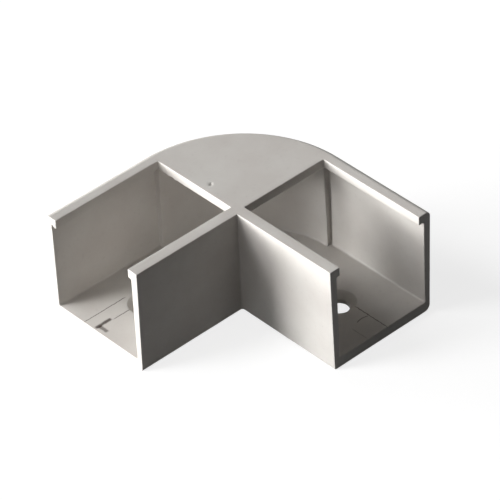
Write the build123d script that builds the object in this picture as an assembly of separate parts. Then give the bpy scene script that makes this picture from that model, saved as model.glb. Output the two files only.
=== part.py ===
from build123d import *
from math import radians, tan
import os

# Corner bracket: two lipped channels that meet at a rounded corner, cast as one piece.
#
# The frame: the channels' centrelines cross at the origin, on the underside, and run out along +X and +Y.
# +Z is up, out of the channels' slots. Lengths are in millimetres.

# The channel
WIDTH = 30.0             # outside width, measured at the top
HEIGHT = 27.3
REACH = 44.0             # from the origin to each arm's end
WALL = 2.0               # side walls, at the top
FLOOR = 2.7
DRAFT = 1.0              # lean of the cast faces, in degrees

# The lips along the top of the walls, and the corner that joins the channels
LIP_THICKNESS = 2.3      # also the corner plate's thickness
OUTER_LIP = 1.5          # how far the outer wall's lip stands in over the channel
INNER_LIP = 0.9
CORNER_WALL = 3.5        # the curved wall, under the plate
PLATE_SETBACK = 0.7      # the plate and the curved wall stop this far short of the inner walls' corner

# The countersunk screw holes, one in each arm's floor
HOLE_REACH = 30.0        # from the origin, along the channel's centreline
HOLE_RADIUS = 2.5
SINK_RADIUS = 4.1
SINK_ANGLE = 90.0        # the whole angle of the countersink

# The rounded edges
TOP_EDGE = 1.3           # outer wall's top edge
BOTTOM_EDGE = 1.5        # outer wall's bottom edge
INNER_BOTTOM_EDGE = 0.5  # inner walls' bottom edge
ROOT = 0.4               # inside corners of the hollow

# Worked out from those
HALF_WIDTH = WIDTH / 2
LEAN = HEIGHT * tan(radians(DRAFT))
CEILING = HEIGHT - LIP_THICKNESS
HOLLOW_HEIGHT = CEILING - FLOOR
PLATE_EDGE = HALF_WIDTH - PLATE_SETBACK
INNER_FACE = HALF_WIDTH - WALL
CORNER_RADIUS = WIDTH
CORNER_AXIS = Location((HALF_WIDTH, HALF_WIDTH, 0))
CLEAR = 5.0              # how far a cut runs past the metal
CLOSE = 0.01             # nearer than this is the same place


def mirrored(piece):
    """The same piece on the other arm: a mirror image across the plane X = Y."""
    return mirror(piece, about=Plane(origin=(0, 0, 0), z_dir=(1, -1, 0)))


def block(low, high):
    """A box between two corners."""
    sizes = [top - bottom for bottom, top in zip(low, high)]
    return Pos(*low) * Box(*sizes, align=(Align.MIN, Align.MIN, Align.MIN))


def outline(inset, height):
    """The bracket's plan at one height, its side walls moved in by the inset."""
    side = HALF_WIDTH - inset
    radius = CORNER_RADIUS - inset
    run_out = Polyline(
        (HALF_WIDTH, -side), (REACH, -side), (REACH, side), (side, side),
        (side, REACH), (-side, REACH), (-side, HALF_WIDTH),
    )
    bend = CenterArc((HALF_WIDTH, HALF_WIDTH), radius, 180, 90)
    return Pos(0, 0, height) * make_face(Curve() + [run_out, bend])


def envelope():
    """The solid outer form: its walls lean in towards the underside."""
    return loft([outline(LEAN, 0), outline(0, HEIGHT)], ruled=True)


def channel_hollow():
    """The space inside the +X arm, between its walls and under its lips."""
    return block((PLATE_EDGE, -INNER_FACE, FLOOR), (REACH + CLEAR, INNER_FACE, CEILING))


def slot():
    """The open space between the lips of the +X arm."""
    start = (PLATE_EDGE, OUTER_LIP - INNER_FACE, (FLOOR + CEILING) / 2)
    return block(start, (REACH + CLEAR, INNER_FACE - INNER_LIP, HEIGHT + CLEAR))


def corner_hollow():
    """The space under the plate: it lies within the curved wall, and opens into both channels."""
    top_radius = CORNER_RADIUS - CORNER_WALL
    bottom_radius = top_radius + HOLLOW_HEIGHT * tan(radians(DRAFT))
    round_space = CORNER_AXIS * Pos(0, 0, FLOOR) * Cone(
        bottom_radius, top_radius, HOLLOW_HEIGHT, align=(Align.CENTER, Align.CENTER, Align.MIN)
    )
    reach = WIDTH + CLEAR
    towards_x = block((-reach, -reach, 0), (PLATE_EDGE, INNER_FACE, HEIGHT))
    return round_space & (towards_x + mirrored(towards_x))


def screw_hole():
    """A countersunk hole in the floor of the +X arm, its cone opening upwards."""
    cone_depth = (SINK_RADIUS - HOLE_RADIUS) / tan(radians(SINK_ANGLE / 2))
    cone = Cone(HOLE_RADIUS, SINK_RADIUS, cone_depth, align=(Align.CENTER, Align.CENTER, Align.MAX))
    shaft = Cylinder(HOLE_RADIUS, FLOOR + CLEAR, align=(Align.CENTER, Align.CENTER, Align.MAX))
    return Pos(HOLE_REACH, 0, FLOOR) * (cone + shaft)


def level_edges(body, height):
    """The edges of a body that lie flat at one height."""
    return body.edges().filter_by_position(Axis.Z, height - CLOSE, height + CLOSE)


def on_outer_wall(edge):
    """True for an edge along the outer wall: its two straight runs and the bend between them."""
    middle = edge @ 0.5
    lowest = min(middle.X, middle.Y)
    on_straight = lowest < LEAN + CLOSE - HALF_WIDTH and max(middle.X, middle.Y) < REACH - CLOSE
    return on_straight or edge.geom_type == GeomType.CIRCLE


def on_inner_wall(edge):
    """True for an edge along either inner wall's outer face."""
    middle = edge @ 0.5
    return min(middle.X, middle.Y) > INNER_FACE and max(middle.X, middle.Y) < REACH - CLOSE


def on_step_root(edge):
    """True for an upright edge where an arm's outer wall meets the end of the thicker curved wall."""
    middle = edge @ 0.5
    beside = abs(max(middle.X, middle.Y) - PLATE_EDGE) < CLOSE
    return beside and abs(min(middle.X, middle.Y) + INNER_FACE) < CLOSE


def rounded_envelope():
    """The outer form with its long edges rounded, those of the outer wall more than the others."""
    body = envelope()
    body = fillet(level_edges(body, HEIGHT).filter_by(on_outer_wall), TOP_EDGE)
    body = fillet(level_edges(body, 0).filter_by(on_outer_wall), BOTTOM_EDGE)
    return fillet(level_edges(body, 0).filter_by(on_inner_wall), INNER_BOTTOM_EDGE)


def hollow():
    """The space inside the walls, its inside corners rounded, and the slots that open it upwards."""
    arm = channel_hollow()
    space = arm + mirrored(arm) + corner_hollow()
    step_roots = space.edges().filter_by(Axis.Z).filter_by(on_step_root)
    space = fillet(level_edges(space, FLOOR) + level_edges(space, CEILING) + step_roots, ROOT)
    return space + slot() + mirrored(slot())


def corner_bracket():
    """The whole casting."""
    hole = screw_hole()
    return rounded_envelope() - hollow() - hole - mirrored(hole)


bracket = corner_bracket()
bracket.label = "corner_bracket"
os.makedirs("parts", exist_ok=True)
export_step(bracket, "parts/corner_bracket.step")
print(f"corner_bracket: {bracket.volume:.0f} cubic mm, solids: {len(bracket.solids())}")
print(f"valid: {bracket.is_valid}")
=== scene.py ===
# %% [markdown]
# # A cast corner bracket for lipped channel
# The bracket is one aluminium casting: two channels, open upwards, meet at a right angle, and a rounded
# corner with a flat plate over it joins them. Each channel has small lips along its walls' tops and a
# countersunk screw hole in its floor. This file builds its looks round a fixed frame: the measured model
# that the part library packed. Everything is in metres, with +X and +Y out along the two channels and +Z
# up.

# %% Load the frame
from math import cos, pi, radians, sin, tan

import bmesh
import bpy
from mathutils import Matrix, Vector, noise


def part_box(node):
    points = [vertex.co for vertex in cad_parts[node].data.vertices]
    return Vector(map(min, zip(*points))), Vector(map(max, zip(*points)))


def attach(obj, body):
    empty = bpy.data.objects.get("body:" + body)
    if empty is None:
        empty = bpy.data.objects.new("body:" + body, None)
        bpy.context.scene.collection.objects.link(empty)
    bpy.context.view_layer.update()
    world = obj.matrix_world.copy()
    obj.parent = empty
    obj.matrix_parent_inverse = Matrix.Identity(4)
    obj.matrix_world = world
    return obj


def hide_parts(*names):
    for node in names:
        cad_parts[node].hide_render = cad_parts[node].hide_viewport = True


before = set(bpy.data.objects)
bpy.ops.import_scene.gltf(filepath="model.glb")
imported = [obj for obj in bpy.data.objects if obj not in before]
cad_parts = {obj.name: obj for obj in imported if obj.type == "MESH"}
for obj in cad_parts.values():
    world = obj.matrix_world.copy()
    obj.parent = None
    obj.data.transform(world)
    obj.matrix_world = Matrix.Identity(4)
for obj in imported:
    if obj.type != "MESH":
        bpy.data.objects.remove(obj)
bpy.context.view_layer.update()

# %% [markdown]
# ## Sizes
# A few driving sizes set the whole shape, as on a drawing. The length and the height come from the frame,
# so the piece always fits it. The walls lean in by one degree towards the underside, which is the draft
# that lets a casting slide out of its mould.

# %% Driving sizes
MM = 0.001
low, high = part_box("corner_bracket")
HEIGHT = high.z
REACH = high.x
HALF_WIDTH = 15.0 * MM
WALL = 2.0 * MM
FLOOR = 2.7 * MM
DRAFT = tan(radians(1.0))
LIP = 2.3 * MM
OUTER_LIP = 1.5 * MM
INNER_LIP = 0.9 * MM
CORNER_WALL = 3.5 * MM
PLATE_EDGE = HALF_WIDTH - 0.7 * MM
TOP_ROUND = 1.3 * MM
BOTTOM_ROUND = 1.5 * MM
INNER_BOTTOM_ROUND = 0.5 * MM
ROOT_ROUND = 0.4 * MM
HOLE_REACH = 30.0 * MM
HOLE_RADIUS = 2.5 * MM
SINK_RADIUS = 4.1 * MM

WIDTH = 2 * HALF_WIDTH
LEAN = HEIGHT * DRAFT
CEILING = HEIGHT - LIP
INNER_FACE = HALF_WIDTH - WALL
BEND_AXIS = Vector((HALF_WIDTH, HALF_WIDTH, 0))
CLEAR = 3 * MM
BEND_STEPS = 64
HOLE_STEPS = 72
CORNER_STEPS = 6
SAME_PLACE = 0.001 * MM
print(f"each channel is {WIDTH / MM:.0f} mm wide and {HEIGHT / MM:.1f} mm high")

# %% [markdown]
# ## The casting's outer form
# On the real bracket the outside is one block that runs along one channel, round the bend and along the
# other. It could be cut from a cube, or drawn as a plan and pulled up. A section that is swept is better
# here: every edge that follows the bracket round is then rounded once, in the flat section, before the
# sweep.
#
# A section is drawn with `r`, the distance in from the bend's axis, and `z`, the height. At the +X arm, `r`
# runs against Y. Each corner has its own rounding, made by a bevel on that corner alone.

# %% A section, drawn flat
def section(bm, corners, x):
    """A flat face in the plane at x, from (r, z, rounding) corners; returns its outline's edges."""
    verts = [bm.verts.new((x, HALF_WIDTH - r, z)) for r, z, rounding in corners]
    face = bm.faces.new(verts)
    for vert, (r, z, rounding) in zip(verts, corners):
        if rounding:
            bmesh.ops.bevel(
                bm, geom=[vert], affect="VERTICES", offset=rounding,
                segments=CORNER_STEPS, profile=0.5, material=-1,
            )
    outline = list(bm.edges)
    bmesh.ops.delete(bm, geom=list(bm.faces), context="FACES_ONLY")
    return outline


def newest(result, kind):
    """The verts or edges that an extrusion or a spin has just made."""
    made = result.get("geom") or result["geom_last"]
    return [item for item in made if isinstance(item, kind)]


# %% [markdown]
# ## Sweeping a section
# `extrude_edge_only` pulls the outline straight, and `spin` turns it about the bend's axis. Only the
# outline is swept, not the face, so that no wall is left inside. The two open ends are filled last. Doubled
# points along the axis are merged before the normals are worked out.

# %% Straight runs, the bend, and closing the ends
def pull(bm, outline, distance):
    """Pulls an outline straight along a vector and returns the outline at the far end."""
    result = bmesh.ops.extrude_edge_only(bm, edges=outline)
    bmesh.ops.translate(bm, verts=newest(result, bmesh.types.BMVert), vec=distance)
    return newest(result, bmesh.types.BMEdge)


def turn(bm, outline):
    """Turns an outline by a quarter, from the +X arm to the +Y arm."""
    verts = list({vert for edge in outline for vert in edge.verts})
    result = bmesh.ops.spin(
        bm, geom=outline + verts, cent=BEND_AXIS, axis=(0, 0, 1),
        angle=-pi / 2, steps=BEND_STEPS, use_merge=False,
    )
    return newest(result, bmesh.types.BMEdge)


def closed_object(bm, name):
    """Fills the open ends, merges doubled points, turns the faces outwards and makes an object."""
    bmesh.ops.holes_fill(bm, edges=[edge for edge in bm.edges if edge.is_boundary], sides=0)
    bmesh.ops.remove_doubles(bm, verts=list(bm.verts), dist=SAME_PLACE)
    bmesh.ops.recalc_face_normals(bm, faces=list(bm.faces))
    print(f"{name}: {len(bm.faces)} faces, {bm.calc_volume() / MM**3:.0f} cubic mm")
    mesh = bpy.data.meshes.new(name)
    bm.to_mesh(mesh)
    bm.free()
    piece = bpy.data.objects.new(name, mesh)
    bpy.context.scene.collection.objects.link(piece)
    return piece


def outer_form():
    bm = bmesh.new()
    corners = [
        (0, HEIGHT, 0),
        (WIDTH, HEIGHT, TOP_ROUND),
        (WIDTH - LEAN, 0, BOTTOM_ROUND),
        (LEAN, 0, INNER_BOTTOM_ROUND),
    ]
    outline = section(bm, corners, REACH)
    arm = REACH - HALF_WIDTH
    outline = pull(bm, outline, (-arm, 0, 0))
    outline = turn(bm, outline)
    pull(bm, outline, (0, arm, 0))
    return closed_object(bm, "cast_bracket")


bracket = outer_form()

# %% [markdown]
# ## The hollows
# The mould's cores leave the space inside each channel, the slot between its lips, and the space under the
# plate that joins the two channels. Each is made as a solid of its own and taken away from the outer form.
# The curved wall is thicker than the channels' walls, so the corner's hollow is narrower, and an upright
# step shows where it ends. The lips' undersides aren't alike: one outer lip dips to a small hook.

# %% The space in a channel, with its slot
def mirrored(piece):
    """Mirrors a piece to the other arm, across the plane X = Y, and keeps its faces outwards."""
    swap = Matrix(((0, 1, 0, 0), (1, 0, 0, 0), (0, 0, 1, 0), (0, 0, 0, 1)))
    piece.data.transform(swap)
    piece.data.flip_normals()
    return piece


def channel_hollow(name, hook):
    """The space in the +X arm and between its lips. The outer lip's root is higher than its tip by the hook."""
    bm = bmesh.new()
    inner, outer = WALL, WIDTH - WALL
    above = HEIGHT + CLEAR
    corners = [
        (inner, FLOOR, ROOT_ROUND),
        (outer, FLOOR, ROOT_ROUND),
        (outer, CEILING + hook, ROOT_ROUND / 2),
        (outer - OUTER_LIP / 2, CEILING, 0),
        (outer - OUTER_LIP, CEILING, 0),
        (outer - OUTER_LIP, above, 0),
        (inner + INNER_LIP, above, 0),
        (inner + INNER_LIP, CEILING, 0),
        (inner, CEILING, ROOT_ROUND),
    ]
    outline = section(bm, corners, REACH + CLEAR)
    pull(bm, outline, (PLATE_EDGE - REACH - CLEAR, 0, 0))
    return closed_object(bm, name)


HOOK = 0.5 * MM
SQUARE_ROOT = 0.05 * MM
hollow_x = channel_hollow("hollow_x", HOOK)
hollow_y = mirrored(channel_hollow("hollow_y", SQUARE_ROOT))

# %% [markdown]
# ## The space under the plate
# The channels run into each other under the plate. Two mirrored halves would share a face in one place,
# which a Boolean handles badly, so this is one quarter turn of a section, less a post where the inner walls
# meet.

# %% Cut one solid from another, and make the space under the plate
def cut(piece, cutter):
    """Takes a solid away from a piece with a Boolean modifier, keeps the result and deletes the solid."""
    modifier = piece.modifiers.new("cut", "BOOLEAN")
    modifier.operation = "DIFFERENCE"
    modifier.solver = "EXACT"
    modifier.object = cutter
    cut_mesh = bpy.data.meshes.new_from_object(piece.evaluated_get(bpy.context.evaluated_depsgraph_get()))
    piece.modifiers.clear()
    piece.data = cut_mesh
    bpy.data.objects.remove(cutter)


def corner_hollow():
    """The space under the plate: a quarter turn of a section, less the post where the inner walls meet."""
    bm = bmesh.new()
    top_radius = WIDTH - CORNER_WALL
    corners = [
        (0, FLOOR, 0),
        (top_radius + (CEILING - FLOOR) * DRAFT, FLOOR, ROOT_ROUND),
        (top_radius, CEILING, ROOT_ROUND),
        (0, CEILING, 0),
    ]
    turn(bm, section(bm, corners, HALF_WIDTH))
    space = closed_object(bm, "corner_hollow")
    bm = bmesh.new()
    bmesh.ops.create_cube(bm, size=2 * WALL)
    bmesh.ops.scale(bm, verts=bm.verts, vec=(1, 1, HEIGHT / WALL))
    bmesh.ops.translate(bm, verts=bm.verts, vec=BEND_AXIS)
    cut(space, closed_object(bm, "post"))
    return space


under_plate = corner_hollow()

# %% [markdown]
# ## The screw holes
# Each floor has a hole for a countersunk screw. Half of its outline, spun right round the hole's own axis,
# makes the straight part and the cone in one solid, so the two can't come apart.

# %% The countersunk screw holes
def screw_hole(name):
    """A hole in the +X arm's floor, as the solid that a drill and a countersink take away."""
    bm = bmesh.new()
    cone_start = FLOOR - (SINK_RADIUS - HOLE_RADIUS)
    profile = [
        (0, -CLEAR),
        (HOLE_RADIUS, -CLEAR),
        (HOLE_RADIUS, cone_start),
        (SINK_RADIUS + CLEAR, FLOOR + CLEAR),
        (0, FLOOR + CLEAR),
    ]
    verts = [bm.verts.new((HOLE_REACH + radius, 0, z)) for radius, z in profile]
    edges = [bm.edges.new(pair) for pair in zip(verts, verts[1:])]
    bmesh.ops.spin(
        bm, geom=verts + edges, cent=(HOLE_REACH, 0, 0), axis=(0, 0, 1),
        angle=2 * pi, steps=HOLE_STEPS, use_merge=True,
    )
    return closed_object(bm, name)


holes = [screw_hole("hole_x"), mirrored(screw_hole("hole_y"))]

# %% Take everything away from the outer form
for cutter in [hollow_x, hollow_y, under_plate, *holes]:
    cut(bracket, cutter)
print(f"after the cuts: {len(bracket.data.polygons)} faces")

# %% [markdown]
# ## Edges
# A casting has no knife edges: even its crispest edge is a sixth of a millimetre round, and that thin round
# is what catches the light. The sharp edges are found by the angle between their two faces. Flat neighbours
# are merged first, so that the bevel meets whole edges.

# %% Merge flat faces and round every sharp edge
EDGE_ROUND = 0.16 * MM
SHARP = radians(30)
FLAT = radians(0.4)


def is_sharp(edge):
    return edge.is_manifold and edge.calc_face_angle() > SHARP


casting = bmesh.new()
casting.from_mesh(bracket.data)
bmesh.ops.remove_doubles(casting, verts=list(casting.verts), dist=SAME_PLACE)
bmesh.ops.dissolve_limit(casting, angle_limit=FLAT, verts=list(casting.verts), edges=list(casting.edges))
sharp = [edge for edge in casting.edges if is_sharp(edge)]
bmesh.ops.bevel(
    casting, geom=sharp, affect="EDGES", offset=EDGE_ROUND,
    segments=2, profile=0.5, material=-1, clamp_overlap=False,
)
print(f"{len(sharp)} sharp edges rounded, {len(casting.faces)} faces")

# %% [markdown]
# ## An even mesh
# A wide flat face has no points inside it, so nothing on it can be bent or dented. `bisect_plane` slices
# the whole piece at even steps along each axis, as a bread knife does, and leaves small faces everywhere.
# Where a dent or a ragged edge goes, a few faces are sliced again, much finer.

# %% Slice the piece, and again where fine detail goes
SLICE = 1.5 * MM
FINE = 0.2 * MM


def slices(mesh, faces, axis, start, end, spacing):
    """Slices some faces at even steps along an axis, and returns the faces that they became."""
    for step in range(1, int((end - start) / spacing)):
        place = Vector((0, 0, 0))
        place[axis] = start + step * spacing
        normal = Vector((0, 0, 0))
        normal[axis] = 1
        edges = {edge for face in faces for edge in face.edges}
        verts = {vert for face in faces for vert in face.verts}
        result = bmesh.ops.bisect_plane(mesh, geom=[*faces, *edges, *verts], plane_co=place, plane_no=normal)
        faces = [item for item in result["geom"] if isinstance(item, bmesh.types.BMFace)]
    return faces


def slice_near(mesh, centre, reach):
    """Slices finely, along all three axes, the faces whose middles lie in a box round a point."""
    near = [
        face for face in mesh.faces
        if all(abs(face.calc_center_median()[axis] - centre[axis]) < reach[axis] for axis in range(3))
    ]
    for axis in range(3):
        near = slices(mesh, near, axis, centre[axis] - reach[axis], centre[axis] + reach[axis], FINE)


every = list(casting.faces)
for axis in range(3):
    every = slices(casting, every, axis, low[axis], high[axis], SLICE)
print(f"sliced: {len(casting.faces)} faces")

# %% [markdown]
# ## What the mould and the shop left
# The plate's edge over the +X arm has a ragged lower edge, where a little metal squeezed between the
# mould's halves. A small oval pit lies in the plate. All over, the walls wander by a few hundredths of a
# millimetre, as cast walls do. Each is a move of the mesh's own points, always into the metal or within the
# part's outline.

# %% Flash under the plate's edge
FLASH_DROP = 0.35 * MM
FLASH_FROM = OUTER_LIP - INNER_FACE
FLASH_LENGTH = 15 * MM


def lower_flash(mesh):
    middle = Vector((PLATE_EDGE, FLASH_FROM + FLASH_LENGTH / 2, CEILING))
    slice_near(mesh, middle, (0.6 * MM, FLASH_LENGTH / 2, 0.7 * MM))
    moved = 0
    for vert in mesh.verts:
        along = (vert.co.y - FLASH_FROM) / FLASH_LENGTH
        at_edge = abs(vert.co.x - PLATE_EDGE) < 0.3 * MM and abs(vert.co.z - CEILING) < 0.25 * MM
        if at_edge and 0.01 < along < 0.99:
            ragged = noise.noise(Vector((vert.co.y / (1.1 * MM), 0.0, 4.0))) + 0.25
            fade = min(1.0, along * 8) * (1 - along)
            vert.co.z -= FLASH_DROP * max(0.0, ragged) * fade
            moved += 1
    return moved


print(f"flash: {lower_flash(casting)} points moved")

# %% The pit in the plate
PIT = Vector((11.7 * MM, 3.0 * MM, HEIGHT))
PIT_LENGTH = 0.75 * MM
PIT_WIDTH = 0.35 * MM
PIT_DEPTH = 0.16 * MM
PIT_TURN = radians(35)


def press_pit(mesh):
    slice_near(mesh, PIT, (1.6 * MM, 1.6 * MM, 0.05 * MM))
    moved = 0
    for vert in mesh.verts:
        if vert.co.z > HEIGHT - 0.02 * MM:
            from_pit = vert.co - PIT
            along = (from_pit.x * cos(PIT_TURN) + from_pit.y * sin(PIT_TURN)) / PIT_LENGTH
            across = (from_pit.y * cos(PIT_TURN) - from_pit.x * sin(PIT_TURN)) / PIT_WIDTH
            depth = max(0.0, 1 - along**2 - across**2)
            vert.co.z -= PIT_DEPTH * depth
            moved += depth > 0
    return moved


print(f"pit: {press_pit(casting)} points pressed in")

# %% Walls that wander
WANDER = 0.05 * MM
WAVE = 6.0 * MM


def wander(mesh):
    mesh.normal_update()
    moves = [
        (vert, vert.normal * (-WANDER * (0.5 + 0.5 * noise.noise(vert.co / WAVE))))
        for vert in mesh.verts
    ]
    for vert, move in moves:
        vert.co += move


wander(casting)

# %% Hand the mesh to the piece
for face in casting.faces:
    face.smooth = True
open_edges = sum(not edge.is_manifold for edge in casting.edges)
print(f"{len(casting.faces)} faces, {open_edges} open edges, {casting.calc_volume() / MM**3:.0f} cubic mm")
casting.to_mesh(bracket.data)
casting.free()
weighted = bracket.modifiers.new("even shading", "WEIGHTED_NORMAL")
weighted.mode = "FACE_AREA"

# %% [markdown]
# ## The finish
# Bare die-cast aluminium, satin and slightly warm. The shader sums are written as Python expressions: a
# small class wraps a socket, and each sum on it adds the Math node that does the work.

# %% Shader maths as Python
class Value:
    """A number that varies over the surface, held as a node's output socket."""

    def __init__(self, shader, socket):
        self.shader = shader
        self.socket = socket

    def math(self, operation, *others):
        inputs = {0: self, **{index + 1: other for index, other in enumerate(others)}}
        return self.shader.node("ShaderNodeMath", {"operation": operation}, inputs)

    def __add__(self, other):
        return self.math("ADD", other)

    def __sub__(self, other):
        return self.math("SUBTRACT", other)

    def __rsub__(self, other):
        return (self * -1) + other

    def __mul__(self, other):
        return self.math("MULTIPLY", other)

    def clamped(self):
        return self.shader.node("ShaderNodeClamp", {}, {"Value": self})

    __radd__ = __add__
    __rmul__ = __mul__


class Shader:
    """A material's node tree, built by calls."""

    def __init__(self, tree):
        self.tree = tree
        tree.nodes.clear()

    def node(self, kind, settings=None, inputs=None, output=0):
        """Adds a node: its settings first, then its sockets' numbers or links; returns one output."""
        made = self.tree.nodes.new(kind)
        for name, value in (settings or {}).items():
            setattr(made, name, value)
        for name, value in (inputs or {}).items():
            if isinstance(value, Value):
                self.tree.links.new(value.socket, made.inputs[name])
            else:
                made.inputs[name].default_value = value
        return Value(self, made.outputs[output]) if made.outputs else None

    def noise(self, place, scale, detail=3.0, roughness=0.5):
        inputs = {"Vector": place, "Scale": scale, "Detail": detail, "Roughness": roughness}
        return self.node("ShaderNodeTexNoise", {}, inputs)

    def mix(self, share, first, second):
        """Mixes two colours."""
        inputs = {0: share, 6: first, 7: second}
        return self.node("ShaderNodeMix", {"data_type": "RGBA"}, inputs, output=2)


def colour(red, green, blue):
    """A linear colour from screen values of 0 to 255."""
    def linear(value):
        share = value / 255
        return share / 12.92 if share <= 0.04045 else ((share + 0.055) / 1.055) ** 2.4
    return (linear(red), linear(green), linear(blue), 1.0)


# %% [markdown]
# ## Painted shade lines and dirt on the floors
# Thin dark lines and dirt lie near the channels' open ends. The long thin lines are painted shade: they
# stand for the shaded edges of a shallow band in each floor, which isn't modelled. The wider patch is
# dirt. They could be painted on a map, but a few bands with soft ends, placed by the piece's own
# coordinates, need no file. A little noise makes their edges ragged.

# %% Painted shade lines and dirt on the floors
class Place:
    """The surface's own place on the bracket, in millimetres, as three values."""

    def __init__(self, shader):
        self.vector = shader.node("ShaderNodeTexCoord", output=3)
        split = shader.tree.nodes.new("ShaderNodeSeparateXYZ")
        shader.tree.links.new(self.vector.socket, split.inputs[0])
        self.x, self.y, self.z = [Value(shader, socket) * (1 / MM) for socket in split.outputs]


def within(value, low_end, high_end, soft):
    """1 where a value lies between two ends and 0 outside, with soft ends."""
    centre = (low_end + high_end) / 2
    half = (high_end - low_end) / 2
    return ((value - centre).math("ABSOLUTE") * (-1 / soft) + (half / soft + 0.5)).clamped()


# Each band, in millimetres: from, to and softness along X, the same along Y, and how dark it is. The long
# thin lines are painted shade for the edges of a shallow band in the floor; the wider patches are dirt.
SHADE_LINES_AND_DIRT = [
    ((32.0, 43.9, 1.0), (-4.88, -4.66, 0.12), 0.75),
    ((34.0, 38.6, 0.8), (-1.0, -0.75, 0.12), 0.7),
    ((39.0, 43.4, 0.5), (-1.85, -1.0, 0.4), 0.9),
    ((42.0, 42.9, 0.4), (-1.2, 1.4, 0.4), 0.7),
    ((-1.52, -1.28, 0.12), (34.0, 43.9, 1.0), 0.75),
    ((4.3, 4.5, 0.12), (39.0, 43.4, 0.8), 0.35),
]
ARC_DARKNESS = 0.6


def floor_shade_lines_and_dirt(place, ragged):
    """Painted shade lines and dirt on the two floors near the open ends, as a share from 0 to 1."""
    x = place.x + ragged * 0.5
    y = place.y + ragged * 0.35
    near_floor = within(place.z, 2.4, 2.95, 0.05)
    bow = ((place.x - 0.6) * 0.62).math("POWER", 2) * 0.35 + 37.9
    arc = within(y - bow, -0.14, 0.14, 0.12) * within(place.x, -1.05, 2.1, 0.3)
    shade_lines_and_dirt = arc * ARC_DARKNESS
    for along_x, along_y, darkness in SHADE_LINES_AND_DIRT:
        shade_lines_and_dirt = shade_lines_and_dirt + within(x, *along_x) * within(y, *along_y) * darkness
    return (shade_lines_and_dirt * near_floor).clamped()


# %% [markdown]
# ## The cast aluminium
# A matt casting is pale grey, with slow clouds of tone, small darker flecks and a fine grain. A metallic
# shader would mirror the backdrop, so this one scatters light as a blasted surface does, with a little
# gloss over it.

# %% The cast aluminium
def cast_aluminium():
    material = bpy.data.materials.new("cast_aluminium")
    material.use_nodes = True
    s = Shader(material.node_tree)
    place = Place(s)
    cloud = s.noise(place.vector, 95.0, 4.0, 0.55)
    grain = s.noise(place.vector, 2400.0, 2.0, 0.6)
    speck = s.noise(place.vector, 900.0, 3.0, 0.65)
    ragged = s.noise(place.vector, 1400.0, 3.0, 0.6) - 0.5
    shade_lines_and_dirt = floor_shade_lines_and_dirt(place, ragged)
    worn = s.mix((cloud * 2.2 - 0.6).clamped(), colour(196, 191, 186), colour(206, 203, 198))
    flecked = s.mix((speck * 3.0 - 1.75).clamped() * 0.35, worn, colour(168, 162, 157))
    # The dark floor lines mixed in here are painted shade; the wider patch is dirt.
    metal = s.mix(shade_lines_and_dirt, flecked, colour(70, 60, 56))
    rough = 0.40 + 0.14 * grain + 0.10 * cloud + 0.25 * shade_lines_and_dirt
    relief = grain * 0.6 + speck * 0.4 - shade_lines_and_dirt * 1.5
    bump = s.node("ShaderNodeBump", {}, {"Strength": 0.35, "Distance": 0.03 * MM, "Height": relief})
    surface = s.node(
        "ShaderNodeBsdfPrincipled", {},
        {"Base Color": metal, "Roughness": rough, "Normal": bump, "Metallic": 0.0, "Specular IOR Level": 0.3},
    )
    s.node("ShaderNodeOutputMaterial", {}, {"Surface": surface})
    return material


bracket.data.materials.clear()
bracket.data.materials.append(cast_aluminium())
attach(bracket, "root")
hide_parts("corner_bracket")
print("finish:", bracket.data.materials[0].name)

# %% [markdown]
# ## The studio
# A pale floor and a white backdrop, with light from one side: a row of soft lamps that together make a long
# low window with some light above it. Light that comes in this low rakes into the channels and leaves the
# faces turned away from it dark, so the bracket's planes stand apart. The floor glows only for the camera
# and in reflections, which keeps it white without sending more light up onto the metal.

# %% The lamps' places and strengths
LAMP_SPREAD = radians(24)
FILL = 0.01
# Each lamp's turn round the bracket from +X, its height above the floor, both in degrees, and its strength.
LAMPS = {
    "long_window_left": (-60, 6, 1.62),
    "long_window_right": (-30, 6, 1.15),
    "middle_box": (-30, 24, 0.34),
    "top_box": (-36, 44, 0.41),
    "front_card": (0, 24, 0.12),
}


# %% Floor, backdrop and lamps
FLOOR_SPREAD = 4.0
FLOOR_GAP = 0.02 * MM


def seen_directly(s):
    """1 where a ray comes from the camera, a reflection or glass, and 0 for light that falls on things."""
    path = s.tree.nodes.new("ShaderNodeLightPath")
    camera_ray, glossy_ray, glass_ray = [
        Value(s, path.outputs[name]) for name in ("Is Camera Ray", "Is Glossy Ray", "Is Transmission Ray")
    ]
    return camera_ray + glossy_ray + glass_ray


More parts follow.
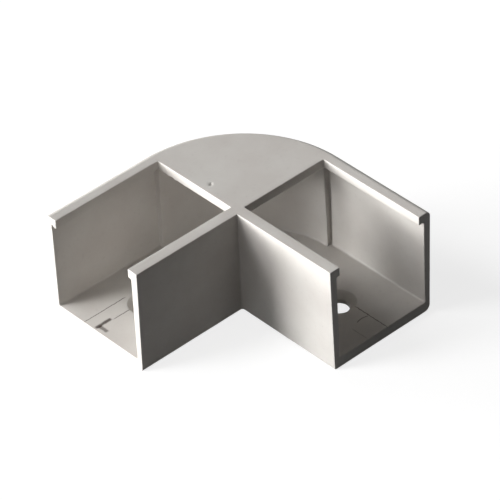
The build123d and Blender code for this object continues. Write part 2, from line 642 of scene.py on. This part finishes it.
def floor():
    bm = bmesh.new()
    bmesh.ops.create_grid(bm, x_segments=1, y_segments=1, size=FLOOR_SPREAD)
    bmesh.ops.translate(bm, verts=bm.verts, vec=(0, 0, -FLOOR_GAP))
    mesh = bpy.data.meshes.new("floor")
    bm.to_mesh(mesh)
    bm.free()
    plane = bpy.data.objects.new("floor", mesh)
    bpy.context.scene.collection.objects.link(plane)
    material = bpy.data.materials.new("floor")
    material.use_nodes = True
    s = Shader(material.node_tree)
    seen = seen_directly(s)
    paint = s.node("ShaderNodeBsdfDiffuse", {}, {"Color": s.mix(seen, (0.1, 0.1, 0.1, 1), (0.3, 0.3, 0.3, 1))})
    glow = s.node("ShaderNodeEmission", {}, {"Color": (1, 1, 1, 1), "Strength": seen * 0.8})
    both = s.node("ShaderNodeAddShader", {}, {0: paint, 1: glow})
    s.node("ShaderNodeOutputMaterial", {}, {"Surface": both})
    plane.data.materials.append(material)


def backdrop():
    world = bpy.data.worlds.new("backdrop")
    bpy.context.scene.world = world
    world.use_nodes = True
    s = Shader(world.node_tree)
    seen = seen_directly(s)
    strength = FILL + seen * (1 - FILL)
    light = s.node("ShaderNodeBackground", {}, {"Color": (1, 1, 1, 1), "Strength": strength})
    s.node("ShaderNodeOutputWorld", {}, {"Surface": light})


def lamp(name, azimuth, elevation, strength):
    """A soft lamp far off. A strength of 1 lights a surface that faces it to its own colour."""
    data = bpy.data.lights.new(name, "SUN")
    data.angle = LAMP_SPREAD
    data.energy = strength * pi
    around, up = radians(azimuth), radians(elevation)
    direction = Vector((cos(around) * cos(up), sin(around) * cos(up), sin(up)))
    light = bpy.data.objects.new(name, data)
    light.rotation_euler = direction.to_track_quat("Z", "Y").to_euler()
    bpy.context.scene.collection.objects.link(light)


floor()
backdrop()
for name, (azimuth, elevation, strength) in LAMPS.items():
    lamp(name, azimuth, elevation, strength)
print(f"{len(LAMPS)} soft lamps")

# %% [markdown]
# ## The camera
# A long lens from well back, looking down at the open channels.

# %% The camera
AIM = Vector((10.25, 13.17, 13.65)) * MM
AZIMUTH = radians(139.10)
ELEVATION = radians(38.72)
ROLL = radians(-3.08)
DISTANCE = 779.6 * MM
LENS = 255.9


def camera():
    data = bpy.data.cameras.new("camera")
    data.sensor_width = 36.0
    data.lens = LENS
    data.clip_start = 10 * MM
    eye = bpy.data.objects.new("camera", data)
    back = Vector((sin(AZIMUTH) * cos(ELEVATION), -cos(AZIMUTH) * cos(ELEVATION), sin(ELEVATION)))
    turn_to = (-back).to_track_quat("-Z", "Y").to_matrix().to_4x4() @ Matrix.Rotation(ROLL, 4, "Z")
    eye.matrix_world = Matrix.Translation(AIM + back * DISTANCE) @ turn_to
    bpy.context.scene.collection.objects.link(eye)
    bpy.context.scene.camera = eye


camera()
print(f"camera: {LENS:.0f} mm lens, {DISTANCE / MM:.0f} mm from the bracket")
bpy.context.scene.view_settings.view_transform = "Standard"
